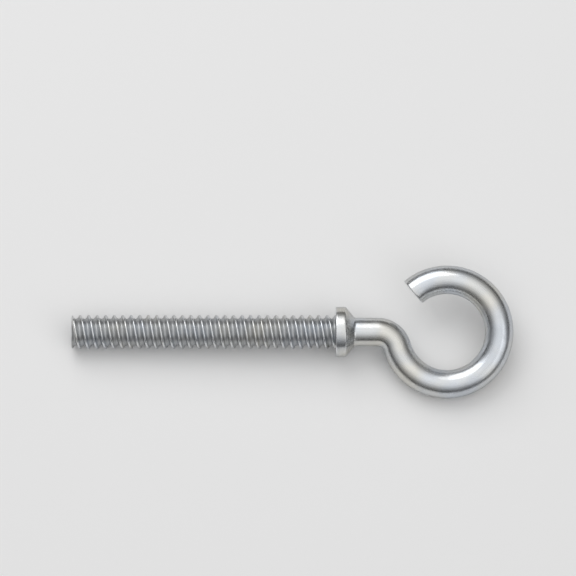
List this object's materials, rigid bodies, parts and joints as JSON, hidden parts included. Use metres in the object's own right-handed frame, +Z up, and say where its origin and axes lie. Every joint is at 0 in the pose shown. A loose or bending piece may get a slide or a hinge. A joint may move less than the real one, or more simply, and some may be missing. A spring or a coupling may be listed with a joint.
{
  "type": "hook anchor",
  "caption": "Screw-in hook of one steel rod: a coarse threaded end, a flat-faced collar, a short shank and an open round hook to hang or tie things from.",
  "frame": {"origin": "where the thread's axis crosses the flat seat face of the collar", "axes": "+Z up, away from the floor that the hook lies on; the thread's axis lies in the XZ plane, the threaded end towards -X and the round hook towards +X, pitched 1.8 degrees so that the threaded end is the lower one; the round hook's bend from the shank is on the -Y side, its mouth on the +Y side"},
  "size_m": [0.1557, 0.0454, 0.0202],
  "materials": {
    "zinc_plated_steel": "bright zinc plate, satin"
  },
  "bodies": {
    "root": {"hook": "zinc_plated_steel"}
  },
  "joints": []
}
